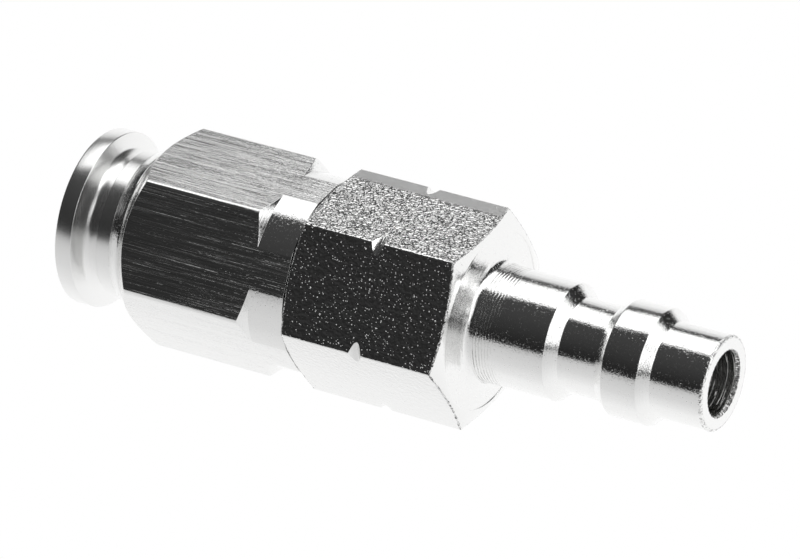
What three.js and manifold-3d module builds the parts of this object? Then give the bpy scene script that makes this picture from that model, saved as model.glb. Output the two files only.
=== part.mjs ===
// A push-to-connect tube fitting screwed into a quick-coupling plug.
// Millimetres. +X runs along the common axis towards the plug's tip, +Z is up.
// The object lies on a flat of its two hexagons, and the origin is below its middle.
import * as THREE from 'three';
import { mergeVertices } from 'three/addons/utils/BufferGeometryUtils.js';
import Module from 'manifold-3d';

const wasm = await Module();
wasm.setup();

// ---- driving dimensions ------------------------------------------------------------------
// Along the axis, X = 0 is where the corners of the plug's hexagon begin.
const ACROSS_FLATS = 17;
const TUBE_RADIUS = 5; // for tube of 10 mm outside diameter
const THREAD_PITCH = 1.337; // G1/4, 19 threads per inch
const THREAD_MAJOR_RADIUS = 6.58;
const THREAD_DEPTH = 0.8;
const THREAD_CLEARANCE = 0.12;
const JOINT_GAP = 0.3; // between two solids that meet
const RUNNING_GAP = 0.1; // between a turning or sliding piece and its bore

const FLAT = ACROSS_FLATS / 2;
const CORNER = ACROSS_FLATS / Math.sqrt(3);
const BEYOND = CORNER + 1; // a radius past every corner

const PLUG = {
  cornerRounding: 0.2,
  rearFace: -0.5,
  rearChamferRadius: 8.4,
  rearChamferRise: 0.45, // along X, from the chamfer's inner edge to the corners
  hexFace: 15.06,
  faceChamferRadius: 8.05,
  faceChamferRise: 0.56,
  grooveX: 7.2,
  grooveHalfWidth: 0.62, // at the corners
  grooveRadius: 9.3,
  dishRadius: 7.9, // a shallow turned cone inside the face
  dishDepth: 0.06,
  coneTop: 15.36,
  rootRadius: 5.95,
  filletX: 15.52,
  filletRadius: 5.5,
  shankRadius: 5.2,
  shankStart: 15.85,
  shankEnd: 22.84,
  neckRadius: 4.16,
  neckStart: 23.8,
  neckEnd: 27.5,
  headRadius: 5.15,
  headStart: 28.4,
  headEnd: 31.66,
  noseRadius: 4.22,
  noseStart: 32.6,
  tip: 37.5,
  tipEdge: 0.25,
  boreRadius: 2.87,
  boreMouth: 0.15, // rise in radius over the bore's last 0.3
  boreMouthLength: 0.3,
  tapMouth: 0.4, // countersink of the tapped hole, beyond the thread
  tapMouthLength: 1,
  threadLength: 9.5, // depth of the tapped hole
  drillPoint: 1.6, // length of the cone that ends the tapped hole
};

const BODY = {
  cornerRounding: 0.5,
  rearFace: -17.85,
  rearRadius: 7.5,
  chamferSlope: 1.12, // rise in radius for each millimetre along X
  hexFront: -4.56,
  bandStart: -3.94,
  bandRadius: 8.68,
  frontFace: PLUG.rearFace - JOINT_GAP,
  threadEnd: 6.6,
  threadChamfer: 0.4,
  flowRadius: 4,
  tubeStop: -3.8,
  sealSeat: -6.2,
  sealStep: -8.4,
  sealRadius: 7.15,
  counterbore: 7.4,
};

const SLEEVE = {
  rear: -24,
  flangeFront: -22.4,
  flangeRadius: 7.92,
  flangeEdge: 0.15,
  mouthChamfer: 0.9,
  fillet: [
    [-22.33, 7.2],
    [-22.15, 6.75],
    [-21.85, 6.35],
  ],
  neckRadius: 6.04,
  neckStart: -21.35,
  shoulderStart: -20.54,
  shoulderRadius: 6.65,
  shoulderEnd: -17.1,
  noseRadius: 5.8,
  lipStart: -14.1,
  lipEnd: -13.5,
  lipRadius: 6.05,
  noseEnd: -12.45,
  noseChamfer: 0.4,
  boreRadius: TUBE_RADIUS + 0.15,
};

// The ring pressed into the body's mouth. Its end carries on the body's cone.
const BUSH = {
  mouth: -19.15,
  mouthEdge: 0.08,
  mouthStepX: 0.4,
  mouthStepRadius: 0.35,
  coneEnd: -17.95,
  outerRadius: BODY.counterbore - 0.02,
  boreRadius: SLEEVE.shoulderRadius + RUNNING_GAP,
  pocketStart: -16.4,
  pocketCone: 0.5,
  pocketRadius: 7,
  end: -11.2,
};

const COLLET = {
  start: -14.9,
  end: -10.75,
  outerRadius: 6.9,
  startChamfer: 0.15,
  endChamfer: 0.3,
  endChamferLength: 0.5,
  lipRadius: 5.9,
  lipLength: 0.55,
  lipFlank: 0.1,
  boreRadius: 6.15,
  slits: 8,
  slitWidth: 0.7,
  slitStart: -13.6,
};

const CHUCK = {
  rimStart: -10.6,
  thickness: 0.35,
  rimRadius: 7.1,
  rimInnerRadius: 6.3,
  tipRadius: 4.95,
  tipEdge: 0.05,
  lean: 1.15, // how far the teeth's tips stand ahead of the rim
  slits: 12,
  slitWidth: 0.55,
};

const SUPPORT = {
  start: CHUCK.rimStart + CHUCK.thickness + RUNNING_GAP,
  end: BODY.sealStep - RUNNING_GAP,
  outerRadius: BODY.counterbore - 0.05,
  boreRadius: TUBE_RADIUS + 0.2,
  coneMouth: CHUCK.rimInnerRadius + 0.15,
  coneSpare: 0.2, // room ahead of the chuck's teeth
};

const TUBE_SEAL = { radius: 6, halfWidth: 1, halfHeight: 1.1 };
const O_RING = { radius: 7.35, half: 0.62, grooveSpare: 0.08, grooveDepth: 1.3 };

const THREAD_ROOT_RADIUS = THREAD_MAJOR_RADIUS - THREAD_DEPTH;
const MALE_THREAD_START = 0.9;
const MALE_THREAD_TURNS = 5;
const FEMALE_THREAD_TURNS = 7;
const RIDGE_OVERLAP = 0.25; // how deep a thread ridge is sunk into its core

const OUTER_SEGMENTS = 48;
const INNER_SEGMENTS = 36;
const THREAD_SEGMENTS = 24;
const ROUNDING_SEGMENTS = 4;
const SEAL_SECTION_POINTS = 10;
const GROOVE_POINTS = 6;
const CUT = 1; // how far a cutting shape runs past what it cuts

// ---- materials ---------------------------------------------------------------------------
const finishes = {
  nickel: { color: 0xd4d3cf, roughness: 0.2, metalness: 1 },
  brass: { color: 0xcfcdc6, roughness: 0.3, metalness: 1 },
  steel: { color: 0xb9bbbd, roughness: 0.25, metalness: 1 },
  rubber: { color: 0x161616, roughness: 0.7, metalness: 0 },
};

function finish(name) {
  return new THREE.MeshStandardMaterial(finishes[name]);
}

// ---- helpers -----------------------------------------------------------------------------
// A solid of revolution about X from a closed profile of [x, r] points.
function turned(profile, segments = OUTER_SEGMENTS) {
  const points = [...profile, profile[0]].map(([x, r]) => new THREE.Vector2(Math.max(r, 0), x));
  const geometry = new THREE.LatheGeometry(points, segments);
  geometry.rotateZ(-Math.PI / 2);
  return solid(geometry);
}

// A closed three.js geometry as a manifold solid, turned inside in if its faces point inwards.
function solid(geometry) {
  const bare = geometry.index ? geometry.toNonIndexed() : geometry.clone();
  bare.deleteAttribute('normal');
  bare.deleteAttribute('uv');
  const merged = mergeVertices(bare, 1e-4);
  const positions = merged.attributes.position.array;
  const triangles = withoutSlivers(merged.index.array);
  if (signedVolume(positions, triangles) < 0) {
    triangles.reverse();
  }
  return new wasm.Manifold(
    new wasm.Mesh({
      numProp: 3,
      vertProperties: new Float32Array(positions),
      triVerts: new Uint32Array(triangles),
    }),
  );
}

// Triangles that still have three different corners after the vertices are merged.
function withoutSlivers(index) {
  const kept = [];
  for (let i = 0; i < index.length; i += 3) {
    const [a, b, c] = index.slice(i, i + 3);
    if (a !== b && b !== c && c !== a) {
      kept.push(a, b, c);
    }
  }
  return kept;
}

function signedVolume(positions, triangles) {
  const corners = [new THREE.Vector3(), new THREE.Vector3(), new THREE.Vector3()];
  let total = 0;
  for (let i = 0; i < triangles.length; i += 3) {
    corners.forEach((corner, k) => corner.fromArray(positions, 3 * triangles[i + k]));
    total += corners[0].dot(corners[1].clone().cross(corners[2])) / 6;
  }
  return total;
}

// A hexagonal prism along X with rounded corners and two of its flats level, top and bottom.
function hexPrism(start, end, rounding) {
  const shape = new THREE.Shape();
  const centreRadius = CORNER - rounding / Math.cos(Math.PI / 6);
  for (let k = 0; k < 6; k += 1) {
    const angle = (k * Math.PI) / 3;
    const centre = [centreRadius * Math.cos(angle), centreRadius * Math.sin(angle)];
    shape.absarc(...centre, rounding, angle - Math.PI / 6, angle + Math.PI / 6);
  }
  shape.closePath();
  const prism = new THREE.ExtrudeGeometry(shape, {
    depth: end - start,
    curveSegments: ROUNDING_SEGMENTS,
    bevelEnabled: false,
  });
  // The shape's x and y become Y and Z, and its depth becomes X.
  const axes = new THREE.Matrix4().makeBasis(
    new THREE.Vector3(0, 1, 0),
    new THREE.Vector3(0, 0, 1),
    new THREE.Vector3(1, 0, 0),
  );
  prism.applyMatrix4(axes);
  prism.translate(start, 0, 0);
  return solid(prism);
}

// A thread ridge wound round X: its [x, r] outline is extruded, and the extrusion is wrapped.
function threadRidge(outline, start, turns) {
  const shape = new THREE.Shape(outline.map(([x, r]) => new THREE.Vector2(x, r)));
  const steps = turns * THREAD_SEGMENTS;
  const strip = new THREE.ExtrudeGeometry(shape, { depth: turns, steps, bevelEnabled: false });
  const position = strip.attributes.position;
  for (let i = 0; i < position.count; i += 1) {
    const turn = position.getZ(i);
    const angle = turn * 2 * Math.PI;
    const radius = position.getY(i);
    const x = start + position.getX(i) + turn * THREAD_PITCH;
    position.setXYZ(i, x, radius * Math.cos(angle), radius * Math.sin(angle));
  }
  return solid(strip);
}

// The ridge's section: a flat crest between two flanks, widened all round by spare.
function ridgeOutline(rootRadius, crestRadius, spare) {
  const crestHalf = THREAD_PITCH / 10 + spare;
  const rootHalf = (THREAD_PITCH * 4) / 10 + spare;
  return [
    [-rootHalf, rootRadius],
    [rootHalf, rootRadius],
    [crestHalf, crestRadius],
    [-crestHalf, crestRadius],
  ];
}

// One slit: a thin box that reaches from the axis outwards at an angle round X.
function slit(start, end, width, innerRadius, outerRadius, angle) {
  const box = new THREE.BoxGeometry(end - start, width, outerRadius - innerRadius);
  box.translate((start + end) / 2, 0, (innerRadius + outerRadius) / 2);
  box.rotateX(angle);
  return solid(box);
}

function withSlits(piece, count, start, end, width, innerRadius, outerRadius) {
  let cut = piece;
  for (let k = 0; k < count; k += 1) {
    const angle = (2 * Math.PI * (k + 0.5)) / count;
    cut = cut.subtract(slit(start, end, width, innerRadius, outerRadius, angle));
  }
  return cut;
}

function toMesh(name, piece, finishName) {
  const { vertProperties, triVerts } = piece.getMesh();
  const geometry = new THREE.BufferGeometry();
  geometry.setAttribute('position', new THREE.BufferAttribute(new Float32Array(vertProperties), 3));
  geometry.setIndex(new THREE.BufferAttribute(new Uint32Array(triVerts), 1));
  geometry.computeVertexNormals();
  const mesh = new THREE.Mesh(geometry, finish(finishName));
  mesh.name = name;
  return mesh;
}

// A round rubber ring whose section is squeezed to a width and a height.
function sealRing(centreX, centreRadius, halfWidth, halfHeight) {
  const section = [];
  for (let k = 0; k < SEAL_SECTION_POINTS; k += 1) {
    const angle = (2 * Math.PI * (k + 0.5)) / SEAL_SECTION_POINTS;
    section.push([
      centreX + halfWidth * Math.cos(angle),
      centreRadius + halfHeight * Math.sin(angle),
    ]);
  }
  return turned(section, INNER_SEGMENTS);
}

// ---- pieces ------------------------------------------------------------------------------
// The quick-coupling plug: hexagon, coupling profile, through bore and tapped hole.
function plugBody() {
  const envelope = turned([
    [PLUG.rearFace, 0],
    [PLUG.rearFace, PLUG.rearChamferRadius],
    [PLUG.rearFace + chamferWidth(PLUG.rearChamferRadius, PLUG.rearChamferRise), BEYOND],
    ...grooveSection(),
    [PLUG.hexFace - chamferWidth(PLUG.faceChamferRadius, PLUG.faceChamferRise), BEYOND],
    [PLUG.hexFace, PLUG.faceChamferRadius],
    [PLUG.hexFace, PLUG.dishRadius],
    [PLUG.hexFace - PLUG.dishDepth, PLUG.dishRadius],
    [PLUG.coneTop, PLUG.rootRadius],
    [PLUG.coneTop, 0],
  ]);
  const profile = turned([
    [PLUG.hexFace - CUT, 0],
    [PLUG.hexFace - CUT, PLUG.rootRadius],
    [PLUG.coneTop, PLUG.rootRadius],
    [PLUG.filletX, PLUG.filletRadius],
    [PLUG.shankStart, PLUG.shankRadius],
    [PLUG.shankEnd, PLUG.shankRadius],
    [PLUG.neckStart, PLUG.neckRadius],
    [PLUG.neckEnd, PLUG.neckRadius],
    [PLUG.headStart, PLUG.headRadius],
    [PLUG.headEnd, PLUG.headRadius],
    [PLUG.noseStart, PLUG.noseRadius],
    [PLUG.tip - PLUG.tipEdge, PLUG.noseRadius],
    [PLUG.tip, PLUG.noseRadius - PLUG.tipEdge],
    [PLUG.tip, 0],
  ]);
  const hexagon = hexPrism(PLUG.rearFace, PLUG.coneTop + CUT, PLUG.cornerRounding);
  return hexagon.intersect(envelope).add(profile).subtract(plugBore());
}

// Length along X of a chamfer that is carried on outwards past the corners.
function chamferWidth(innerRadius, rise) {
  return (rise * (BEYOND - innerRadius)) / (CORNER - innerRadius);
}

// The round-bottomed groove across the hexagon's corners.
function grooveSection() {
  const depth = CORNER - PLUG.grooveRadius;
  const spread = Math.sqrt((BEYOND - PLUG.grooveRadius) / depth);
  const points = [];
  for (let k = -GROOVE_POINTS; k <= GROOVE_POINTS; k += 1) {
    const t = (k * spread) / GROOVE_POINTS;
    points.push([PLUG.grooveX + PLUG.grooveHalfWidth * t, PLUG.grooveRadius + depth * t * t]);
  }
  return points;
}

function plugBore() {
  const minorRadius = THREAD_ROOT_RADIUS + THREAD_CLEARANCE;
  const mouthRadius = THREAD_MAJOR_RADIUS + PLUG.tapMouth;
  const bore = turned(
    [
      [PLUG.rearFace - CUT, 0],
      [PLUG.rearFace - CUT, mouthRadius],
      [PLUG.rearFace, mouthRadius],
      [PLUG.rearFace + PLUG.tapMouthLength, minorRadius],
      [PLUG.threadLength, minorRadius],
      [PLUG.threadLength + PLUG.drillPoint, PLUG.boreRadius],
      [PLUG.tip - PLUG.boreMouthLength, PLUG.boreRadius],
      [PLUG.tip, PLUG.boreRadius + PLUG.boreMouth],
      [PLUG.tip + CUT, PLUG.boreRadius + PLUG.boreMouth],
      [PLUG.tip + CUT, 0],
    ],
    INNER_SEGMENTS,
  );
  const outline = ridgeOutline(
    THREAD_ROOT_RADIUS - RIDGE_OVERLAP,
    THREAD_MAJOR_RADIUS + THREAD_CLEARANCE,
    THREAD_CLEARANCE,
  );
  const ridge = threadRidge(outline, MALE_THREAD_START - THREAD_PITCH, FEMALE_THREAD_TURNS);
  return bore.add(ridge);
}

// The push-in body: hexagonal bar, turned band, male thread and the stepped bore.
function fittingBody() {
  const rearChamfer = (BEYOND - BODY.rearRadius) / BODY.chamferSlope;
  const envelope = turned([
    [BODY.rearFace, 0],
    [BODY.rearFace, BODY.rearRadius],
    [BODY.rearFace + rearChamfer, BEYOND],
    [BODY.hexFront - bandReach(BEYOND - CORNER), BEYOND],
    [BODY.bandStart, BODY.bandRadius],
    [BODY.frontFace, BODY.bandRadius],
    [BODY.frontFace, 0],
  ]);
  const shell = hexPrism(BODY.rearFace, BODY.frontFace, BODY.cornerRounding).intersect(envelope);
  return shell.add(maleThread()).subtract(oRingGroove()).subtract(bodyBore());
}

// How far along X the shoulder between the corners and the band moves for a rise in radius.
function bandReach(rise) {
  return (rise * (BODY.bandStart - BODY.hexFront)) / (CORNER - BODY.bandRadius);
}

function maleThread() {
  const rootRadius = THREAD_ROOT_RADIUS - THREAD_CLEARANCE;
  const core = turned(
    [
      [BODY.frontFace - CUT, 0],
      [BODY.frontFace - CUT, rootRadius],
      [BODY.threadEnd - BODY.threadChamfer, rootRadius],
      [BODY.threadEnd, rootRadius - BODY.threadChamfer],
      [BODY.threadEnd, 0],
    ],
    INNER_SEGMENTS,
  );
  const outline = ridgeOutline(rootRadius - RIDGE_OVERLAP, THREAD_MAJOR_RADIUS, 0);
  const ridge = threadRidge(outline, MALE_THREAD_START, MALE_THREAD_TURNS);
  const pastCrest = THREAD_MAJOR_RADIUS + THREAD_CLEARANCE;
  const runOut = turned(
    [
      [MALE_THREAD_START - THREAD_DEPTH, 0],
      [MALE_THREAD_START - THREAD_DEPTH, rootRadius],
      [MALE_THREAD_START, pastCrest],
      [BODY.threadEnd - THREAD_DEPTH, pastCrest],
      [BODY.threadEnd, rootRadius - BODY.threadChamfer],
      [BODY.threadEnd, 0],
    ],
    INNER_SEGMENTS,
  );
  return core.add(ridge.intersect(runOut));
}

function oRingGroove() {
  const halfWidth = O_RING.half + O_RING.grooveSpare;
  return turned(
    [
      [BODY.frontFace - O_RING.grooveDepth, O_RING.radius - halfWidth],
      [BODY.frontFace - O_RING.grooveDepth, O_RING.radius + halfWidth],
      [BODY.frontFace + CUT / 4, O_RING.radius + halfWidth],
      [BODY.frontFace + CUT / 4, O_RING.radius - halfWidth],
    ],
    INNER_SEGMENTS,
  );
}

function bodyBore() {
  const tubeBore = TUBE_RADIUS + RUNNING_GAP;
  return turned(
    [
      [BODY.rearFace - CUT, 0],
      [BODY.rearFace - CUT, BODY.counterbore],
      [BODY.sealStep, BODY.counterbore],
      [BODY.sealStep, BODY.sealRadius],
      [BODY.sealSeat, BODY.sealRadius],
      [BODY.sealSeat, tubeBore],
      [BODY.tubeStop, tubeBore],
      [BODY.tubeStop, BODY.flowRadius],
      [BODY.threadEnd + CUT, BODY.flowRadius],
      [BODY.threadEnd + CUT, 0],
    ],
    INNER_SEGMENTS,
  );
}

function guideBush() {
  return turned(
    [
      [BUSH.mouth, BUSH.boreRadius + BUSH.mouthEdge],
      [BUSH.mouth + BUSH.mouthEdge, BUSH.boreRadius],
      [BUSH.pocketStart, BUSH.boreRadius],
      [BUSH.pocketStart + BUSH.pocketCone, BUSH.pocketRadius],
      [BUSH.end, BUSH.pocketRadius],
      [BUSH.end, BUSH.outerRadius],
      [BUSH.coneEnd, BUSH.outerRadius],
      [BUSH.mouth + BUSH.mouthStepX, BUSH.boreRadius + BUSH.mouthStepRadius],
    ],
    INNER_SEGMENTS,
  );
}

// The flanged sleeve that is pushed in to free the tube.
function releaseSleeve() {
  return turned([
    [SLEEVE.rear, SLEEVE.boreRadius + SLEEVE.mouthChamfer],
    [SLEEVE.rear, SLEEVE.flangeRadius - SLEEVE.flangeEdge],
    [SLEEVE.rear + SLEEVE.flangeEdge, SLEEVE.flangeRadius],
    [SLEEVE.flangeFront - SLEEVE.flangeEdge, SLEEVE.flangeRadius],
    [SLEEVE.flangeFront, SLEEVE.flangeRadius - SLEEVE.flangeEdge],
    ...SLEEVE.fillet,
    [SLEEVE.neckStart, SLEEVE.neckRadius],
    [SLEEVE.shoulderStart, SLEEVE.neckRadius],
    [SLEEVE.shoulderStart, SLEEVE.shoulderRadius],
    [SLEEVE.shoulderEnd, SLEEVE.shoulderRadius],
    [SLEEVE.shoulderEnd, SLEEVE.noseRadius],
    [SLEEVE.lipStart, SLEEVE.noseRadius],
    [SLEEVE.lipStart, SLEEVE.lipRadius],
    [(SLEEVE.lipStart + SLEEVE.lipEnd) / 2, SLEEVE.lipRadius],
    [SLEEVE.lipEnd, SLEEVE.noseRadius],
    [SLEEVE.noseEnd - SLEEVE.noseChamfer, SLEEVE.noseRadius],
    [SLEEVE.noseEnd, SLEEVE.noseRadius - SLEEVE.noseChamfer],
    [SLEEVE.noseEnd, SLEEVE.boreRadius],
    [SLEEVE.rear + SLEEVE.mouthChamfer, SLEEVE.boreRadius],
  ]);
}

// The slotted ring that carries the sleeve's snap lip and stands behind the chuck.
function collet() {
  const lipEnd = COLLET.start + COLLET.lipLength;
  const ring = turned(
    [
      [COLLET.start, COLLET.lipRadius],
      [COLLET.start, COLLET.outerRadius - COLLET.startChamfer],
      [COLLET.start + COLLET.startChamfer, COLLET.outerRadius],
      [COLLET.end - COLLET.endChamferLength, COLLET.outerRadius],
      [COLLET.end, COLLET.outerRadius - COLLET.endChamfer],
      [COLLET.end, COLLET.boreRadius],
      [lipEnd + COLLET.lipFlank, COLLET.boreRadius],
      [lipEnd, COLLET.lipRadius],
    ],
    INNER_SEGMENTS,
  );
  const inner = COLLET.boreRadius - CUT;
  const outer = COLLET.outerRadius + CUT;
  const end = COLLET.end + CUT;
  return withSlits(ring, COLLET.slits, COLLET.slitStart, end, COLLET.slitWidth, inner, outer);
}

// The spring ring: a flat rim with a cone of slit teeth that lean forwards to the tube.
function chuck() {
  const back = CHUCK.rimStart;
  const ring = turned(
    [
      [back, CHUCK.rimInnerRadius],
      [back, CHUCK.rimRadius],
      [back + CHUCK.thickness, CHUCK.rimRadius],
      [back + CHUCK.thickness, CHUCK.rimInnerRadius],
      [back + CHUCK.lean + CHUCK.thickness, CHUCK.tipRadius + CHUCK.tipEdge],
      [back + CHUCK.lean, CHUCK.tipRadius],
    ],
    INNER_SEGMENTS,
  );
  const inner = CHUCK.tipRadius - CUT;
  const outer = CHUCK.rimInnerRadius + RUNNING_GAP;
  const end = back + CHUCK.lean + CHUCK.thickness + CUT;
  return withSlits(ring, CHUCK.slits, back - CUT, end, CHUCK.slitWidth, inner, outer);
}

// The ring between chuck and seal. Its hollow cone leaves the teeth room to open.
function supportRing() {
  return turned(
    [
      [SUPPORT.start, SUPPORT.coneMouth],
      [SUPPORT.start, SUPPORT.outerRadius],
      [SUPPORT.end, SUPPORT.outerRadius],
      [SUPPORT.end, SUPPORT.boreRadius],
      [SUPPORT.start + CHUCK.lean + SUPPORT.coneSpare, SUPPORT.boreRadius],
    ],
    INNER_SEGMENTS,
  );
}

// The rubber ring in the body's front shoulder.
function threadORing() {
  return sealRing(BODY.frontFace - O_RING.half, O_RING.radius, O_RING.half, O_RING.half);
}

// The rubber ring that is squeezed between its seat and the tube.
function tubeSeal() {
  const middle = (BODY.sealStep + BODY.sealSeat) / 2;
  return sealRing(middle, TUBE_SEAL.radius, TUBE_SEAL.halfWidth, TUBE_SEAL.halfHeight);
}

// ---- assembly ----------------------------------------------------------------------------
const group = new THREE.Group();
group.add(toMesh('plug_body', plugBody(), 'nickel'));
group.add(toMesh('fitting_body', fittingBody(), 'nickel'));
group.add(toMesh('release_sleeve', releaseSleeve(), 'nickel'));
group.add(toMesh('guide_bush', guideBush(), 'brass'));
group.add(toMesh('collet', collet(), 'brass'));
group.add(toMesh('chuck', chuck(), 'steel'));
group.add(toMesh('support_ring', supportRing(), 'brass'));
group.add(toMesh('tube_seal', tubeSeal(), 'rubber'));
group.add(toMesh('thread_o_ring', threadORing(), 'rubber'));
group.position.set(-(PLUG.tip + SLEEVE.rear) / 2, 0, FLAT);

export default group;
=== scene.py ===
"""Looks of the push-to-connect fitting and its coupling plug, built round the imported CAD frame.

Lengths named below are millimetres along the fitting's own axis, with X = 0 where the corners
of the plug's hexagon begin, as in the CAD source. place() turns them into the row frame.
"""

import math

import bpy
from mathutils import Matrix, Vector

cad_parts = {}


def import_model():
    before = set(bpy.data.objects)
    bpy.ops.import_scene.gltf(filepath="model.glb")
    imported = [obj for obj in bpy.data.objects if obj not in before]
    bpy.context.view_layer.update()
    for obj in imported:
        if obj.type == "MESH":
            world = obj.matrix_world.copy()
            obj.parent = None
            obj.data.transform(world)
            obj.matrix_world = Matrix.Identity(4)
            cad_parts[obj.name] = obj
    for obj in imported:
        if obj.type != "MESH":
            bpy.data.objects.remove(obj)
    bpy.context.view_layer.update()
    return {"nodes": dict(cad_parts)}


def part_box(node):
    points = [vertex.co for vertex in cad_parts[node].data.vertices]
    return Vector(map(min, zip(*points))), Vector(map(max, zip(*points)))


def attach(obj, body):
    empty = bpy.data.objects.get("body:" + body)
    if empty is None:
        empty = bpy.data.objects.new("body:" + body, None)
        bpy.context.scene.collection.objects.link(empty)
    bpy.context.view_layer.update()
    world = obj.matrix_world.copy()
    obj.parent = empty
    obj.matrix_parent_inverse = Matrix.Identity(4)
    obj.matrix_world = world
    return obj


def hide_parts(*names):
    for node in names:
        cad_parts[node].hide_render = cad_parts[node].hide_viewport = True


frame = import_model()

MM = 0.001
ACROSS_FLATS = 17.0
FLAT = ACROSS_FLATS / 2
CORNER = ACROSS_FLATS / math.sqrt(3)
TIP = 37.5
SLICE = math.pi / 6  # angle from a corner of the hexagons to the middle of a flat

plug_low, plug_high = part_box("plug_body")
AXIS_START = Vector((plug_high.x - TIP * MM, 0.0, (plug_low.z + plug_high.z) / 2))


# ---- outlines ------------------------------------------------------------------------------
def hexagon_radius(offset, rounding):
    """Radius of a rounded hexagon at an angle measured from its nearest corner."""
    centre = CORNER - rounding / math.cos(SLICE)
    tangent = tangent_angle(rounding)
    if abs(offset) < tangent:
        across = centre * math.sin(offset)
        return centre * math.cos(offset) + math.sqrt(rounding**2 - across**2)
    return FLAT / math.cos(SLICE - abs(offset))


def tangent_angle(rounding):
    """Angle from a corner at which its rounding runs out into the flat."""
    centre = CORNER - rounding / math.cos(SLICE)
    return math.atan2(rounding * math.sin(SLICE), centre + rounding * math.cos(SLICE))


def corner_offset(radius):
    """Angle from a corner at which the flat is at a radius."""
    return SLICE - math.acos(FLAT / radius)


CORNER_STEPS = 4  # columns on half a rounded corner
FLAT_STEPS = 40  # columns on half a flat
CROWDING = 1.3  # how much closer the flat's columns stand near its corners
ROUND_STEPS = 224  # columns round the bodies that have no hexagon
NEARLY = 1e-6  # smaller differences of an angle or a radius are rounding errors
TOLERANCE = 1e-4


def hexagon_columns(rounding, extra):
    """Angles round the axis, close together at the corners, with the extra offset included."""
    tangent = tangent_angle(rounding)
    flat = SLICE - tangent
    offsets = [tangent * k / CORNER_STEPS for k in range(CORNER_STEPS + 1)]
    offsets += [tangent + flat * (k / FLAT_STEPS) ** CROWDING for k in range(1, FLAT_STEPS + 1)]
    offsets = sorted([*offsets, extra])
    half = [offset for offset in offsets if offset < SLICE - NEARLY]
    columns = []
    for corner in range(6):
        middle = corner * 2 * SLICE
        columns += [(middle + offset, offset) for offset in half]
        columns.append((middle + SLICE, SLICE))
        columns += [(middle + 2 * SLICE - offset, offset) for offset in reversed(half[1:])]
    return columns


def round_columns():
    return [(2 * math.pi * k / ROUND_STEPS, 0.0) for k in range(ROUND_STEPS)]


EDGE_STEPS = 4  # pieces of a rounded corner of an outline
LONGEST_REACH = 0.45  # share of a side that a rounding may use


def rounded(corners):
    """A closed (x, r) outline with its corners rounded.

    Each corner is (x, r, rounding, finish), and finish is that of the surface after it. A fifth
    value is the finish of the rounding itself, where it differs.
    """
    points = []
    count = len(corners)
    for k, (x, r, rounding, finish, *edge_finish) in enumerate(corners):
        here = Vector((x, r))
        before = Vector(corners[k - 1][:2]) - here
        after = Vector(corners[(k + 1) % count][:2]) - here
        reach = min(rounding, LONGEST_REACH * before.length, LONGEST_REACH * after.length)
        if reach < 1e-5:
            reach = 0.0
        start = here + before * (reach / max(before.length, 1e-9))
        end = here + after * (reach / max(after.length, 1e-9))
        arc = EDGE_STEPS if rounding > 0 else 0
        for i in range(arc + 1):
            t = i / max(arc, 1)
            point = start * (1 - t) ** 2 + here * 2 * t * (1 - t) + end * t**2
            on_edge = edge_finish and i < arc
            points.append((point.x, point.y, edge_finish[0] if on_edge else finish))
    return points


def finished(corners, finish):
    """Outline corners that share one finish."""
    return [(*corner, finish) for corner in corners]


# ---- meshes --------------------------------------------------------------------------------
def place(x, r, angle):
    """A point of the fitting in the row frame, in metres."""
    return AXIS_START + MM * Vector((x, r * math.cos(angle), r * math.sin(angle)))


SHARP_ANGLE = math.radians(36)  # edges steeper than this are not smoothed over


def swept(name, columns, outline_at, materials):
    """A closed body whose outline may change from column to column round the axis."""
    outlines = [outline_at(angle, offset) for angle, offset in columns]
    rows = len(outlines[0])
    verts = [
        place(x, r, columns[i][0])
        for i, outline in enumerate(outlines)
        for x, r, _ in outline
    ]
    faces = []
    finishes = []
    for i in range(len(columns)):
        here = i * rows
        there = ((i + 1) % len(columns)) * rows
        for j in range(rows):
            k = (j + 1) % rows
            faces.append((here + j, here + k, there + k, there + j))
            finishes.append(outlines[i][j][2])
    mesh = bpy.data.meshes.new(name)
    mesh.from_pydata(verts, [], faces)
    slots = list(materials)
    for slot in slots:
        mesh.materials.append(materials[slot])
    for polygon, finish in zip(mesh.polygons, finishes):
        polygon.material_index = slots.index(finish)
        polygon.use_smooth = True
    mesh.validate()
    mesh.update()
    mesh.set_sharp_from_angle(angle=SHARP_ANGLE)
    piece = bpy.data.objects.new(name, mesh)
    bpy.context.scene.collection.objects.link(piece)
    weighted = piece.modifiers.new("WeightedNormal", "WEIGHTED_NORMAL")
    weighted.weight = 100
    weighted.keep_sharp = True
    return piece


PLUG_ROUNDING = 0.2
PLUG_REAR = -0.5
REAR_CHAMFER = (8.4, 0.45)  # inner radius, and rise along X from there to the corners
PLUG_FACE = 15.06
FACE_CHAMFER = (8.05, 0.56)
GROOVE_X = 7.2
GROOVE_RADIUS = 9.3
GROOVE_HALF_WIDTH = 0.62
GROOVE_NARROWEST = 0.03
GROOVE_POINTS = 10
RECESS_RADIUS = 7.9  # of the shallow recess that the shank rises from
SHANK_START = 15.85
SHANK_RADIUS = 5.2
SHANK_END = 22.84
NECK_START = 23.8
NECK_RADIUS = 4.16
NECK_END = 27.5
HEAD_START = 28.42
HEAD_RADIUS = 5.15
HEAD_END = 31.66
NOSE_START = 32.61
NOSE_RADIUS = 4.2
BORE = 2.87
BORE_END = 11.1
THREAD_RELIEF = (9.5, 5.9)  # X and radius where the tapped hole's cone begins
TAPPED_MOUTH = 6.98
EDGE_WEAR = 0.11  # rounding of the plug's tumbled edges, and how much it varies
EDGE_WANDER = 0.08
MOUTH_BURR = 0.13  # widening of the bore's mouth, and how much it varies
MOUTH_WANDER = 0.11


def wander(angle, seed):
    """An uneven value from -1 to 1 round the axis."""
    waves = ((41, 0.3), (97, 0.3), (173, 0.25), (311, 0.15))
    return sum(share * math.sin(count * angle + seed * count) for count, share in waves)


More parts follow.
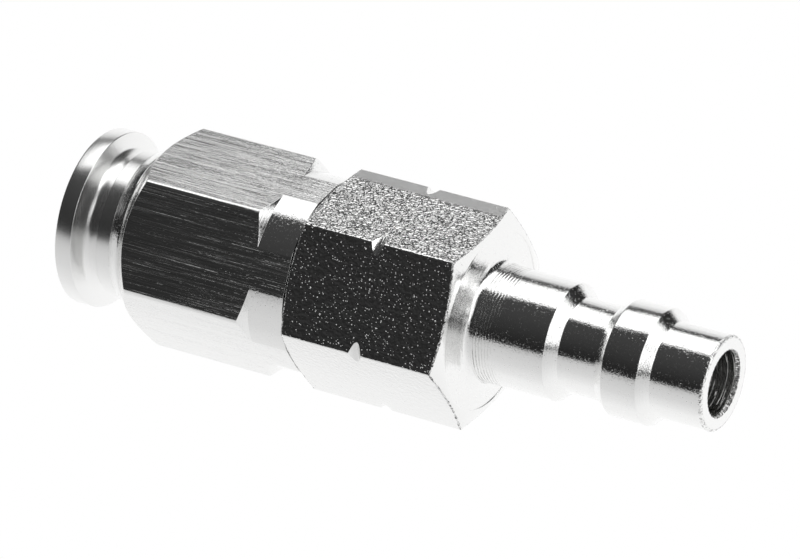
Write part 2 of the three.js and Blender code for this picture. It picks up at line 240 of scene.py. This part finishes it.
def chamfer_at(h, chamfer):
    """How far along X a chamfer is from the end face, where the hexagon's radius is h."""
    inner, rise = chamfer
    return rise * (h - inner) / (CORNER - inner)


def groove_section(h):
    """The round-bottomed groove across a surface at radius h, from edge to edge."""
    depth = max(h - GROOVE_RADIUS, 0.0)
    narrowing = math.sqrt(depth / (CORNER - GROOVE_RADIUS))
    reach = max(GROOVE_HALF_WIDTH * narrowing, GROOVE_NARROWEST)
    points = []
    for k in range(GROOVE_POINTS + 1):
        t = 2 * k / GROOVE_POINTS - 1
        points.append((GROOVE_X + reach * t, h - depth * (1 - t * t)))
    return points


THREAD_PITCH = 1.337  # G1/4
THREAD_START = 0.9  # where a crest crosses the +Y side
MALE_THREAD = (5.66, 6.58)  # root and crest radius
FEMALE_THREAD = (5.9, 6.7)
MALE_SPAN = (0.1, 6.2)
FEMALE_SPAN = (0.6, 9.4)
ROWS_PER_TURN = 10
SEAL_GROOVE = (-2.1, 6.65, 8.05)  # bottom, and the inner and outer radius


def thread_rows(span, radii, angle):
    """A right-hand thread's (x, r) points along one line beside the axis."""
    start, end = span
    low, high = radii
    count = round((end - start) / THREAD_PITCH * ROWS_PER_TURN)
    rows = []
    for k in range(count + 1):
        x = start + (end - start) * k / count
        turn = (x - THREAD_START) / THREAD_PITCH - angle / (2 * math.pi)
        r = (low + high) / 2 + (high - low) / 2 * math.cos(2 * math.pi * turn)
        rows.append((x, r, 0.0, "bore"))
    return rows


def plug_outline(angle, offset):
    """The plug's outline, from its rear face forwards outside and back through its bore."""
    h = hexagon_radius(offset, PLUG_ROUNDING)
    in_flat = h < GROOVE_RADIUS + TOLERANCE
    groove = [(x, r, 0.0, "tumbled" if in_flat else "turned") for x, r in groove_section(h)]
    rear_edge = PLUG_REAR + chamfer_at(h, REAR_CHAMFER)
    front_edge = PLUG_FACE - chamfer_at(h, FACE_CHAMFER)
    edge = EDGE_WEAR + EDGE_WANDER * wander(angle, 1.3)
    mouth = MOUTH_BURR + MOUTH_WANDER * wander(angle, 3.9)
    return rounded([
        (PLUG_REAR, TAPPED_MOUTH, 0.05, "turned"),
        (PLUG_REAR, REAR_CHAMFER[0], 0.0, "face"),
        (rear_edge, h, edge, "tumbled", "worn"),
        *groove[:-1],
        (*groove[-1][:3], "tumbled"),
        (front_edge, h, edge, "face", "worn"),
        (PLUG_FACE, FACE_CHAMFER[0], 0.1, "face"),
        (PLUG_FACE, RECESS_RADIUS, 0.04, "turned"),
        (PLUG_FACE - 0.06, RECESS_RADIUS, 0.05, "turned"),
        (15.36, 5.95, 0.1, "turned"),
        (15.52, 5.5, 0.25, "turned"),
        (SHANK_START, SHANK_RADIUS, 0.3, "turned"),
        (SHANK_END, SHANK_RADIUS, 0.06, "turned"),
        (NECK_START, NECK_RADIUS, 0.08, "turned"),
        (NECK_END, NECK_RADIUS, 0.05, "turned"),
        (NECK_END + 0.04, 4.6, 0.05, "turned"),
        (HEAD_START, HEAD_RADIUS, 0.06, "turned"),
        (HEAD_END, HEAD_RADIUS, 0.06, "turned"),
        (NOSE_START, NOSE_RADIUS, 0.08, "turned"),
        (TIP, NOSE_RADIUS + 0.02, 0.28, "face", "knocked"),
        (TIP, BORE + mouth, 0.04, "knocked"),
        (TIP - 0.4, BORE, 0.05, "bore"),
        (BORE_END, BORE, 0.0, "bore"),
        (*THREAD_RELIEF, 0.0, "bore"),
        *reversed(thread_rows(FEMALE_SPAN, FEMALE_THREAD, angle)),
    ])


BODY_ROUNDING = 0.5
BODY_REAR = -17.85
BODY_REAR_RADIUS = 7.5
BODY_SLOPE = 1.12
HEX_FRONT = -4.56
BAND_START = -3.94
BAND_RADIUS = 8.68
BODY_EDGE = 0.05  # rounding of its machined edges
BODY_MOUTH = 7.4
BODY_FRONT = PLUG_REAR - 0.06
THREAD_END = 6.6
FLOW_BORE = 4.0
# The steps inside, each an X and the radii in front of it and behind it.
TUBE_STOP = (-3.8, FLOW_BORE, 5.1)
SEAL_SEAT = (-6.2, 5.1, 7.15)
COUNTERBORE = (-8.4, 7.15, BODY_MOUTH)


def bore_step(step):
    """The two corners where a bore changes from one radius to another."""
    x, front, rear = step
    return finished([(x, front, 0.0), (x, rear, 0.0)], "bore")


def body_outline(angle, offset):
    """The push-in body's outline, forwards outside and back through its stepped bore."""
    h = hexagon_radius(offset, BODY_ROUNDING)
    shoulder = HEX_FRONT + (CORNER - h) * (BAND_START - HEX_FRONT) / (CORNER - BAND_RADIUS)
    shoulder = min(shoulder, BAND_START - 0.02)
    band = min(h, BAND_RADIUS)
    in_flat = h < BAND_RADIUS - NEARLY
    end_finish = "drawn" if in_flat else "turned"
    rear_end = BODY_REAR + (h - BODY_REAR_RADIUS) / BODY_SLOPE
    groove_bottom, groove_inner, groove_outer = SEAL_GROOVE
    return rounded([
        (BODY_REAR, BODY_MOUTH, 0.03, "turned"),
        (BODY_REAR, BODY_REAR_RADIUS, 0.03, "turned"),
        (rear_end, h, BODY_EDGE, "drawn"),
        (shoulder, h, BODY_EDGE * 0.5, end_finish),
        (BAND_START, band, BODY_EDGE * 0.5, end_finish),
        (BODY_FRONT, band, BODY_EDGE, "turned"),
        (BODY_FRONT, groove_outer, 0.0, "turned"),
        (groove_bottom, groove_outer, 0.0, "turned"),
        (groove_bottom, groove_inner, 0.0, "turned"),
        (BODY_FRONT, groove_inner, 0.0, "turned"),
        (BODY_FRONT, MALE_THREAD[0], 0.0, "turned"),
        *thread_rows(MALE_SPAN, MALE_THREAD, angle),
        (THREAD_END, MALE_THREAD[0] - 0.4, 0.0, "turned"),
        (THREAD_END, FLOW_BORE, 0.0, "bore"),
        *bore_step(TUBE_STOP),
        *bore_step(SEAL_SEAT),
        *bore_step(COUNTERBORE),
    ])


FLANGE_REAR = -24.0
FLANGE_FRONT = -22.4
FLANGE_RADIUS = 7.92
SLEEVE_NECK = 6.04
SLEEVE_COLLAR = 6.68
SLEEVE_BORE = 5.15
SLEEVE_SHANK = 5.8
CATCH_RADIUS = 6.05  # of the ridge that holds the sleeve in the collet


def sleeve_outline(angle, offset):
    """The release sleeve's outline, the same all round."""
    return rounded(finished([
        (FLANGE_REAR, 6.05, 0.1),
        (FLANGE_REAR, FLANGE_RADIUS, 0.16),
        (FLANGE_FRONT, FLANGE_RADIUS, 0.08),
        (-21.98, 6.55, 0.2),
        (-21.5, SLEEVE_NECK, 0.3),
        (-20.62, SLEEVE_NECK, 0.12),
        (-20.54, SLEEVE_COLLAR, 0.06),
        (-17.1, SLEEVE_COLLAR - 0.03, 0.05),
        (-17.1, SLEEVE_SHANK, 0.05),
        (-14.1, SLEEVE_SHANK, 0.03),
        (-14.1, CATCH_RADIUS, 0.05),
        (-13.75, CATCH_RADIUS, 0.05),
        (-13.5, SLEEVE_SHANK, 0.03),
        (-12.85, SLEEVE_SHANK, 0.05),
        (-12.45, 5.35, 0.05),
        (-12.45, SLEEVE_BORE, 0.05),
        (-23.1, SLEEVE_BORE, 0.1),
    ], "polished"))


BUSH_OUTER = 7.36
BUSH_MOUTH = 6.75
BUSH_BORE = 7.0
BUSH_FRONT = -11.2


def bush_outline(angle, offset):
    """The mouth bush's outline, the same all round."""
    return rounded(finished([
        (-19.15, BUSH_MOUTH, 0.05),
        (-19.1, 6.95, 0.1),
        (-18.05, BUSH_OUTER, 0.1),
        (BUSH_FRONT, BUSH_OUTER, 0.05),
        (BUSH_FRONT, BUSH_BORE, 0.05),
        (-15.9, BUSH_BORE, 0.05),
        (-16.4, BUSH_MOUTH, 0.05),
    ], "turned"))


# ---- materials -----------------------------------------------------------------------------
class Nodes:
    """A material's node tree with short calls for what the metals share."""

    def __init__(self, name):
        self.material = bpy.data.materials.new(name)
        self.material.use_nodes = True
        self.tree = self.material.node_tree
        self.shader = self.tree.nodes["Principled BSDF"]

    def node(self, kind, **values):
        made = self.tree.nodes.new(kind)
        for key, value in values.items():
            setattr(made, key, value)
        return made

    def feed(self, socket, value):
        if hasattr(value, "is_output"):
            self.tree.links.new(value, socket)
        else:
            socket.default_value = value

    def math(self, operation, a, b=0.0):
        made = self.node("ShaderNodeMath", operation=operation)
        for socket, value in zip(made.inputs, (a, b)):
            self.feed(socket, value)
        return made.outputs[0]

    def combine(self, x, y, z):
        made = self.node("ShaderNodeCombineXYZ")
        for socket, value in zip(made.inputs, (x, y, z)):
            self.feed(socket, value)
        return made.outputs[0]

    def position(self):
        """x, y and z of a point in millimetres along and across the fitting's axis."""
        place_in = self.node("ShaderNodeTexCoord").outputs["Object"]
        moved = self.node("ShaderNodeVectorMath", operation="SUBTRACT")
        self.feed(moved.inputs[0], place_in)
        moved.inputs[1].default_value = AXIS_START
        scaled = self.node("ShaderNodeVectorMath", operation="SCALE")
        self.feed(scaled.inputs[0], moved.outputs[0])
        scaled.inputs["Scale"].default_value = 1 / MM
        split = self.node("ShaderNodeSeparateXYZ")
        self.feed(split.inputs[0], scaled.outputs[0])
        return split.outputs[0], split.outputs[1], split.outputs[2]

    def radius(self, y, z):
        """Distance from the axis."""
        squares = self.math("MULTIPLY", y, y), self.math("MULTIPLY", z, z)
        return self.math("SQRT", self.math("ADD", *squares))

    def noise(self, vector, scale, detail=2.0, rough=0.5):
        made = self.node("ShaderNodeTexNoise")
        self.feed(made.inputs["Vector"], vector)
        made.inputs["Scale"].default_value = scale
        made.inputs["Detail"].default_value = detail
        made.inputs["Roughness"].default_value = rough
        return made.outputs[0]

    def ramp(self, value, low, high, out_low=0.0, out_high=1.0):
        """A smooth step from one output to the other as the value goes from low to high."""
        made = self.node("ShaderNodeMapRange", interpolation_type="SMOOTHSTEP")
        for socket, number in zip(made.inputs, (value, low, high, out_low, out_high)):
            self.feed(socket, number)
        return made.outputs[0]

    def stretched_noise(self, vector, stretch, detail=2.0, rough=0.5):
        """Noise with its own number of waves per unit along each axis of the vector."""
        made = self.node("ShaderNodeVectorMath", operation="MULTIPLY")
        self.feed(made.inputs[0], vector)
        made.inputs[1].default_value = stretch
        return self.noise(made.outputs[0], 1.0, detail, rough)

    def mix(self, share, colour, other):
        """One colour running over into another as the share goes from 0 to 1."""
        made = self.node("ShaderNodeMix", data_type="RGBA")
        # The node has sockets for numbers and vectors too, so these are picked by place.
        self.feed(made.inputs[0], share)
        made.inputs[6].default_value = colour
        made.inputs[7].default_value = other
        return made.outputs[2]

    def bump(self, height, distance, normal=None, strength=1.0):
        """A normal bent by a height from 0 to 1 that stands for a distance in millimetres."""
        made = self.node("ShaderNodeBump")
        self.feed(made.inputs["Height"], height)
        made.inputs["Distance"].default_value = distance * MM
        self.feed(made.inputs["Strength"], strength)
        if normal is not None:
            self.feed(made.inputs["Normal"], normal)
        return made.outputs[0]

    def finish(self, colour, roughness, normal=None, metallic=1.0):
        self.feed(self.shader.inputs["Base Color"], colour)
        self.feed(self.shader.inputs["Roughness"], roughness)
        self.shader.inputs["Metallic"].default_value = metallic
        if normal is not None:
            self.feed(self.shader.inputs["Normal"], normal)
        return self.material


NICKEL = (0.86, 0.86, 0.855, 1.0)
# Darker colour for the bores and threads inside the parts: painted shade.
SHADED_BORE_NICKEL = (0.6, 0.6, 0.59, 1.0)
# Colour for the hollows of the dents on knocked edges: painted shade.
DENT_SHADE = (0.1, 0.1, 0.1, 1.0)
STEEL_GREY = (0.62, 0.62, 0.63, 1.0)
RUBBER_BLACK = (0.018, 0.018, 0.018, 1.0)
AROUND = 1.2  # how far the turning vector moves round the axis, in its own units


def along_the_turning(n, x, y, z):
    """A vector that changes fast along the outline and slowly round the axis."""
    r = n.radius(y, z)
    outline = n.math("SUBTRACT", x, n.math("MULTIPLY", r, 0.5))
    cos = n.math("DIVIDE", y, r)
    sin = n.math("DIVIDE", z, r)
    return n.combine(outline, n.math("MULTIPLY", cos, AROUND), n.math("MULTIPLY", sin, AROUND))


def pits(n, x, y, z, spread, radius):
    """Height of a surface with round pits: 0 at a pit's bottom, 1 outside it."""
    cells = n.node("ShaderNodeTexVoronoi")
    n.feed(cells.inputs["Vector"], n.combine(x, y, z))
    cells.inputs["Scale"].default_value = 1 / spread
    return n.ramp(cells.outputs["Distance"], 0.0, radius / spread)


def turned_metal(name, marks=0.01, chatter=0.007, rough=(0.1, 0.4)):
    """Fine circular tool marks under the plating, with coarse ones where the shank begins."""
    n = Nodes(name)
    x, y, z = n.position()
    around = along_the_turning(n, x, y, z)
    lines = n.stretched_noise(around, (13.0, 2.0, 2.0), detail=2.0, rough=0.6)
    normal = n.bump(lines, marks)
    normal = n.bump(feed_marks(n, x, y, z, around), 0.055, normal)
    comb = n.stretched_noise(around, (7.0, 30.0, 30.0), detail=1.0, rough=0.5)
    normal = n.bump(comb, chatter, normal)
    normal = n.bump(pits(n, x, y, z, 0.45, 0.07), 0.012, normal)
    mottle = n.noise(n.combine(x, y, z), 4.5, detail=2.0, rough=0.7)
    roughness = n.ramp(mottle, 0.48, 0.8, *rough)
    return n.finish(NICKEL, roughness, normal)


FEED = 0.29  # the tool's feed along the shank for each turn, where its marks show
FEED_STARTS = (15.9, 16.2)  # where the marks fade in
FEED_ENDS = (18.8, 16.9)  # where they are gone, and where they begin to fade


def feed_marks(n, x, y, z, around):
    """Height of the tool's feed marks on the shank's first millimetres, broken up round it."""
    wobble = n.stretched_noise(around, (0.6, 1.6, 1.6), detail=1.0, rough=0.5)
    turns = n.math("MULTIPLY", x, 2 * math.pi / FEED)
    phase = n.math("ADD", turns, n.math("MULTIPLY", wobble, 3.0))
    wave = n.math("MULTIPLY", n.math("SINE", phase), 0.5)
    here = n.math("MULTIPLY", n.ramp(x, *FEED_STARTS), n.ramp(x, *FEED_ENDS))
    cloud = n.noise(n.combine(x, y, z), 0.9, detail=1.0, rough=0.5)
    patches = n.ramp(cloud, 0.4, 0.6, 0.3, 1.0)
    return n.math("MULTIPLY", wave, n.math("MULTIPLY", here, patches))


def face_metal(name):
    """Turned end faces: nearly plain, with faint rings."""
    return turned_metal(name, marks=0.003, chatter=0.004, rough=(0.12, 0.24))


def drawn_metal(name):
    """Lengthwise draw marks on hexagon bar."""
    n = Nodes(name)
    x, y, z = n.position()
    place_in = n.combine(x, y, z)
    streaks = n.stretched_noise(place_in, (0.05, 6.0, 6.0), detail=2.0, rough=0.6)
    normal = n.bump(streaks, 0.019)
    fine = n.stretched_noise(place_in, (0.12, 12.0, 12.0), detail=2.0, rough=0.6)
    normal = n.bump(fine, 0.012, normal)
    grain = n.stretched_noise(place_in, (2.5, 4.5, 4.5), detail=2.0, rough=0.6)
    speckled = n.ramp(x, -14.0, -4.0, 0.5, 1.0)
    normal = n.bump(grain, 0.025, normal, speckled)
    dull = n.stretched_noise(place_in, (0.1, 9.0, 9.0), detail=3.0, rough=0.75)
    roughness = n.ramp(dull, 0.43, 0.69, 0.065, 0.37)
    return n.finish(NICKEL, roughness, normal)


RUBBED = (3.2, 3.7)  # distance from the top flat's middle where its far strip gets smoother


def tumbled_metal(name):
    """Coarse pitted grain on the plug's flats, rubbed smoother along one edge of the top one."""
    n = Nodes(name)
    x, y, z = n.position()
    place_in = n.combine(x, y, z)
    sway = n.noise(place_in, 1.4, detail=2.0, rough=0.6)
    across = n.math("ADD", y, n.math("MULTIPLY", n.math("SUBTRACT", sway, 0.5), 0.7))
    across = n.math("ADD", across, n.math("MULTIPLY", x, 0.02))
    rubbed = n.math("MULTIPLY", n.ramp(across, *RUBBED), n.ramp(z, FLAT - 0.2, FLAT - 0.1))
    left = n.math("SUBTRACT", 1.0, n.math("MULTIPLY", rubbed, 0.8))
    grain = n.noise(place_in, 2.8, detail=1.0, rough=0.5)
    normal = n.bump(grain, 0.075, strength=left)
    fine = n.noise(place_in, 7.0, detail=1.0, rough=0.5)
    normal = n.bump(fine, 0.012, normal, left)
    cloud = n.noise(place_in, 1.7, detail=2.0, rough=0.6)
    patches = n.ramp(cloud, 0.35, 0.65, 0.1, 1.0)
    pitted = n.math("MULTIPLY", left, patches)
    normal = n.bump(pits(n, x, y, z, 0.24, 0.07), 0.038, normal, pitted)
    normal = n.bump(pits(n, x, y, z, 1.3, 0.1), 0.06, normal)
    roughness = n.math("ADD", 0.06, n.math("MULTIPLY", rubbed, 0.22))
    return n.finish(NICKEL, roughness, normal)


def worn_shaded_metal(name, depth, dark):
    """Knocked edges: deep small dents that catch light, with painted shade darkening their hollows.
    """
    n = Nodes(name)
    x, y, z = n.position()
    place_in = n.combine(x, y, z)
    dents = n.noise(place_in, 3.2, detail=2.0, rough=0.7)
    normal = n.bump(dents, depth)
    # Painted shade: the colour darkens towards the bottoms of the dents.
    painted_shade = n.ramp(dents, 0.5, 0.4, 0.0, dark)
    return n.finish(n.mix(painted_shade, NICKEL, DENT_SHADE), 0.2, normal)


def polished_metal(name):
    """Soft-edged reflections, with the faintest turning lines."""
    n = Nodes(name)
    x, y, z = n.position()
    around = along_the_turning(n, x, y, z)
    lines = n.stretched_noise(around, (5.0, 1.0, 1.0), detail=2.0, rough=0.5)
    normal = n.bump(lines, 0.003)
    return n.finish(NICKEL, 0.24, normal)


def bore_metal(name):
    """Drilled bore: coarse rings, rougher, and a darker colour that is painted shade inside it."""
    n = Nodes(name)
    x, y, z = n.position()
    around = along_the_turning(n, x, y, z)
    lines = n.stretched_noise(around, (7.0, 0.5, 0.5), detail=2.0, rough=0.6)
    normal = n.bump(lines, 0.03)
    scores = n.stretched_noise(around, (5.0, 0.4, 0.4), detail=1.0, rough=0.5)
    normal = n.bump(n.ramp(scores, 0.58, 0.64), 0.06, normal)
    return n.finish(SHADED_BORE_NICKEL, 0.18, normal)


def spring_steel(name):
    """Stainless strip with a faint even grain."""
    n = Nodes(name)
    x, y, z = n.position()
    grain = n.noise(n.combine(x, y, z), 8.0, detail=3.0, rough=0.6)
    normal = n.bump(grain, 0.003)
    return n.finish(STEEL_GREY, 0.25, normal)


def seal_rubber(name):
    """Matt black rubber."""
    n = Nodes(name)
    x, y, z = n.position()
    grain = n.noise(n.combine(x, y, z), 12.0, detail=3.0, rough=0.6)
    normal = n.bump(grain, 0.006)
    rough = n.ramp(grain, 0.3, 0.7, 0.45, 0.65)
    return n.finish(RUBBER_BLACK, rough, normal, metallic=0.0)


metals = {
    "turned": turned_metal("turned_nickel"),
    "face": face_metal("faced_nickel"),
    "drawn": drawn_metal("drawn_nickel"),
    "tumbled": tumbled_metal("tumbled_nickel"),
    "polished": polished_metal("polished_nickel"),
    "bore": bore_metal("bored_shaded_nickel"),
    # Both edge finishes paint shade into the hollows of their dents.
    "worn": worn_shaded_metal("worn_shaded_nickel", depth=0.4, dark=0.9),
    "knocked": worn_shaded_metal("knocked_shaded_nickel", depth=0.12, dark=0.45),
}
STEEL = spring_steel("spring_steel")
RUBBER = seal_rubber("seal_rubber")


def finishes(*names):
    return {name: metals[name] for name in names}


# ---- pieces --------------------------------------------------------------------------------
def add_piece(piece, node, body):
    """Hands a piece to the frame, riding on a body in place of a CAD node."""
    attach(piece, body)
    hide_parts(node)


plug = swept(
    "plug",
    hexagon_columns(PLUG_ROUNDING, corner_offset(GROOVE_RADIUS)),
    plug_outline,
    finishes("turned", "tumbled", "face", "bore", "worn", "knocked"),
)
add_piece(plug, "plug_body", "housing")

body = swept(
    "push_in_body",
    hexagon_columns(BODY_ROUNDING, corner_offset(BAND_RADIUS)),
    body_outline,
    finishes("turned", "drawn", "bore"),
)
add_piece(body, "fitting_body", "housing")

sleeve = swept("sleeve", round_columns(), sleeve_outline, finishes("polished"))
add_piece(sleeve, "release_sleeve", "release_sleeve")

bush = swept("mouth_bush", round_columns(), bush_outline, finishes("turned"))
add_piece(bush, "guide_bush", "housing")


def recoat(node, material):
    """Gives a CAD node that stays a finished material."""
    mesh = frame["nodes"][node].data
    mesh.materials.clear()
    mesh.materials.append(material)


recoat("collet", metals["turned"])
recoat("support_ring", metals["turned"])
recoat("chuck", STEEL)
recoat("tube_seal", RUBBER)
recoat("thread_o_ring", RUBBER)


# ---- studio --------------------------------------------------------------------------------
def glow(name, strength):
    """An emission material of one grey level."""
    material = bpy.data.materials.new(name)
    material.use_nodes = True
    tree = material.node_tree
    tree.nodes.clear()
    light = tree.nodes.new("ShaderNodeEmission")
    light.inputs["Strength"].default_value = strength
    out = tree.nodes.new("ShaderNodeOutputMaterial")
    tree.links.new(light.outputs[0], out.inputs[0])
    return material


def card(name, corners, strength):
    """A glowing card that shows in reflections, but not to the camera."""
    mesh = bpy.data.meshes.new(name)
    mesh.from_pydata(corners, [], [(0, 1, 2, 3)])
    mesh.materials.append(glow(name, strength))
    made = bpy.data.objects.new(name, mesh)
    bpy.context.scene.collection.objects.link(made)
    made.visible_camera = False
    made.visible_shadow = False


BACKDROP_Y = 1.6


def backdrop(name, left, right, bottom, top, strength):
    """An upright card behind the fitting."""
    y = BACKDROP_Y
    corners = [(left, y, bottom), (right, y, bottom), (right, y, top), (left, y, top)]
    card(name, corners, strength)


def softbox(name, centre, facing, width, height, radiance):
    """An area light whose energy follows from how bright its face looks."""
    data = bpy.data.lights.new(name, "AREA")
    data.shape = "RECTANGLE"
    data.size = width
    data.size_y = height
    data.energy = radiance * math.pi * width * height
    made = bpy.data.objects.new(name, data)
    made.location = centre
    made.rotation_mode = "QUATERNION"
    made.rotation_quaternion = Vector(facing).to_track_quat("-Z", "Y")
    made.visible_camera = False
    bpy.context.scene.collection.objects.link(made)


# Painted light: how bright the table's glow is, against Y in metres, dimmer on the camera's side.
PAINTED_TABLE_LIGHT = (
    (-0.12, 0.50),
    (-0.032, 0.64),
    (-0.017, 0.70),
    (-0.010, 0.84),
    (-0.007, 0.95),
    (-0.003, 1.0),
    (0.002, 1.0),
    (0.02, 0.86),
)
TABLE_HALF = 6.0
TABLE_GREY = (0.12, 0.12, 0.12, 1)


def painted_table_light(tree):
    """The strength of the table's glow, painted light read from where on it a point is."""
    where = tree.nodes.new("ShaderNodeTexCoord")
    split = tree.nodes.new("ShaderNodeSeparateXYZ")
    tree.links.new(where.outputs["Object"], split.inputs[0])
    near = PAINTED_TABLE_LIGHT[0][0]
    far = PAINTED_TABLE_LIGHT[-1][0]
    fade = tree.nodes.new("ShaderNodeMapRange")
    fade.inputs["From Min"].default_value = near
    fade.inputs["From Max"].default_value = far
    across = tree.nodes.new("ShaderNodeValToRGB")
    stops = across.color_ramp.elements
    for spot, level in PAINTED_TABLE_LIGHT:
        stop = stops.new((spot - near) / (far - near))
        stop.color = (level, level, level, 1)
    # The two stops that a new ramp starts with.
    stops.remove(stops[0])
    stops.remove(stops[-1])
    tree.links.new(split.outputs["Y"], fade.inputs["Value"])
    tree.links.new(fade.outputs[0], across.inputs[0])
    return across.outputs[0]


def table_material():
    """White to the camera, and to reflections a grey table lit by the lamps, with painted light
    added as a glow.
    """
    material = bpy.data.materials.new("table")
    material.use_nodes = True
    tree = material.node_tree
    tree.nodes.clear()
    diffuse = tree.nodes.new("ShaderNodeBsdfDiffuse")
    diffuse.inputs["Color"].default_value = TABLE_GREY
    # The glow is painted light on the table, dimmer on the camera's side.
    lit = tree.nodes.new("ShaderNodeEmission")
    tree.links.new(painted_table_light(tree), lit.inputs["Strength"])
    shaded = tree.nodes.new("ShaderNodeAddShader")
    plain = tree.nodes.new("ShaderNodeEmission")
    plain.inputs["Strength"].default_value = 1.0
    path = tree.nodes.new("ShaderNodeLightPath")
    mix = tree.nodes.new("ShaderNodeMixShader")
    out = tree.nodes.new("ShaderNodeOutputMaterial")
    tree.links.new(diffuse.outputs[0], shaded.inputs[0])
    tree.links.new(lit.outputs[0], shaded.inputs[1])
    tree.links.new(path.outputs["Is Camera Ray"], mix.inputs[0])
    tree.links.new(shaded.outputs[0], mix.inputs[1])
    tree.links.new(plain.outputs[0], mix.inputs[2])
    tree.links.new(mix.outputs[0], out.inputs[0])
    return material


def floor():
    """The table that the fitting lies on."""
    half = TABLE_HALF
    corners = [(-half, -half, 0), (half, -half, 0), (half, half, 0), (-half, half, 0)]
    mesh = bpy.data.meshes.new("table")
    mesh.from_pydata(corners, [], [(0, 1, 2, 3)])
    mesh.materials.append(table_material())
    made = bpy.data.objects.new("table", mesh)
    bpy.context.scene.collection.objects.link(made)


def world():
    """White to the camera, and to reflections dark, a little less so higher up."""
    made = bpy.data.worlds.new("studio")
    bpy.context.scene.world = made
    made.use_nodes = True
    tree = made.node_tree
    tree.nodes.clear()
    dark = tree.nodes.new("ShaderNodeBackground")
    where = tree.nodes.new("ShaderNodeTexCoord")
    split = tree.nodes.new("ShaderNodeSeparateXYZ")
    rise = tree.nodes.new("ShaderNodeMapRange")
    settings = {"From Min": 0.2, "From Max": 1.0, "To Min": 0.024, "To Max": 0.075}
    for socket, value in settings.items():
        rise.inputs[socket].default_value = value
    tree.links.new(where.outputs["Generated"], split.inputs[0])
    tree.links.new(split.outputs["Z"], rise.inputs["Value"])
    tree.links.new(rise.outputs[0], dark.inputs["Strength"])
    white = tree.nodes.new("ShaderNodeBackground")
    white.inputs["Strength"].default_value = 1.0
    path = tree.nodes.new("ShaderNodeLightPath")
    mix = tree.nodes.new("ShaderNodeMixShader")
    out = tree.nodes.new("ShaderNodeOutputWorld")
    tree.links.new(path.outputs["Is Camera Ray"], mix.inputs[0])
    tree.links.new(dark.outputs[0], mix.inputs[1])
    tree.links.new(white.outputs[0], mix.inputs[2])
    tree.links.new(mix.outputs[0], out.inputs[0])


floor()
world()
# The long overhead softbox hangs level, from over the fitting to well behind it.
softbox("overhead", (0.56, 0.48, 0.9), (0, 0, -1), 2.48, 0.91, 1.4)
# A second one stands on the right, facing the plug's tip.
softbox("side", (1.2, -0.07, 0.5), (-1, 0, 0), 1.26, 0.82, 1.3)
# Three cards behind it get darker upwards. The top flats reflect the dark top one.
backdrop("backdrop_low", -2.6, 0.45, 0.0, 0.45, 1.02)
backdrop("backdrop_high", -2.6, 0.45, 0.45, 0.86, 0.82)
backdrop("backdrop_top", -1.7, 0.45, 0.86, 1.7, 0.08)
# A dim one on the left fills the sleeve's rear.
card("left_fill", [(-1.2, -0.2, 0.1), (-1.2, 1.0, 0.1), (-1.2, 1.0, 0.45), (-1.2, -0.2, 0.45)], 0.3)


# ---- camera --------------------------------------------------------------------------------
VIEW_AZIMUTH = math.radians(31.0017)
VIEW_ELEVATION = math.radians(32.5566)
VIEW_ROLL = math.radians(-2.8237)
VIEW_DISTANCE = 0.6
VIEW_RIGHT = 5.3481 * MM  # how far the view's middle is right of the axis's start
VIEW_DOWN = 0.0163 * MM
SENSOR = 36.0
LENS = 312.1
CLIP = (0.01, 50)


def camera():
    """A long lens, aimed by azimuth, elevation and roll."""
    back = Vector((
        math.sin(VIEW_AZIMUTH) * math.cos(VIEW_ELEVATION),
        -math.cos(VIEW_AZIMUTH) * math.cos(VIEW_ELEVATION),
        math.sin(VIEW_ELEVATION),
    ))
    right = (-back).cross(Vector((0, 0, 1))).normalized()
    up = right.cross(-back)
    tilted_right = math.cos(VIEW_ROLL) * right + math.sin(VIEW_ROLL) * up
    tilted_up = math.cos(VIEW_ROLL) * up - math.sin(VIEW_ROLL) * right
    data = bpy.data.cameras.new("view")
    data.sensor_width = SENSOR
    data.lens = LENS
    data.clip_start, data.clip_end = CLIP
    made = bpy.data.objects.new("view", data)
    turn = Matrix((tilted_right, tilted_up, back)).transposed().to_4x4()
    spot = AXIS_START + back * VIEW_DISTANCE + tilted_right * VIEW_RIGHT - tilted_up * VIEW_DOWN
    made.matrix_world = Matrix.Translation(spot) @ turn
    bpy.context.scene.collection.objects.link(made)
    bpy.context.scene.camera = made


camera()
bpy.context.scene.view_settings.view_transform = "Standard"
